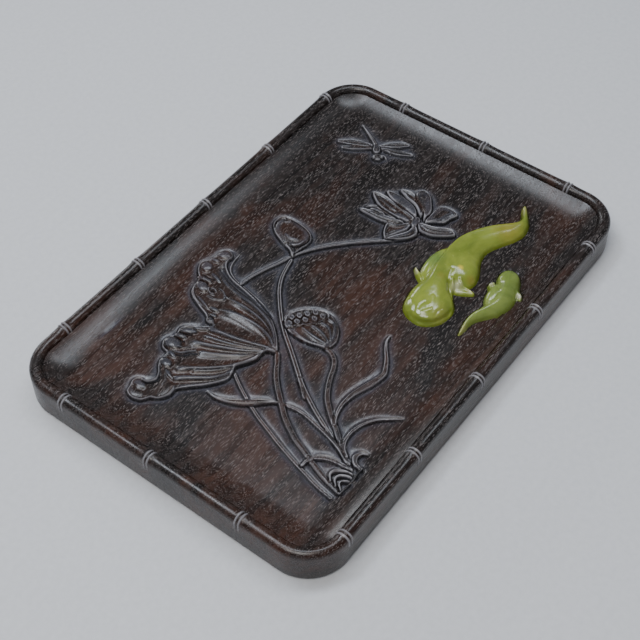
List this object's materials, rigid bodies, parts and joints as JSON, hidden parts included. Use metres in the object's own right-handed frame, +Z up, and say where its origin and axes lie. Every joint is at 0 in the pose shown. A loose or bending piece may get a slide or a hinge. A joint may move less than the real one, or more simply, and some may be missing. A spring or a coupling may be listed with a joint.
{
  "type": "carved desk tray",
  "caption": "Shallow rectangular carved hardwood desk tray with a bamboo-shaped rim, a lotus relief and two inlaid stone catfish.",
  "frame": {"origin": "middle of the flat underside", "axes": "+X along the long side, +Y across the tray, +Z up"},
  "size_m": [0.3012, 0.2052, 0.0226],
  "materials": {
    "dark_hardwood": "waxed and polished, open pores",
    "yellow_stone": "polished, translucent",
    "glue": "matte"
  },
  "bodies": {
    "root": {"tray_board": "dark_hardwood", "large_catfish": "yellow_stone", "small_catfish": "yellow_stone", "large_catfish_glue_bed": "glue", "small_catfish_glue_bed": "glue"}
  },
  "joints": []
}
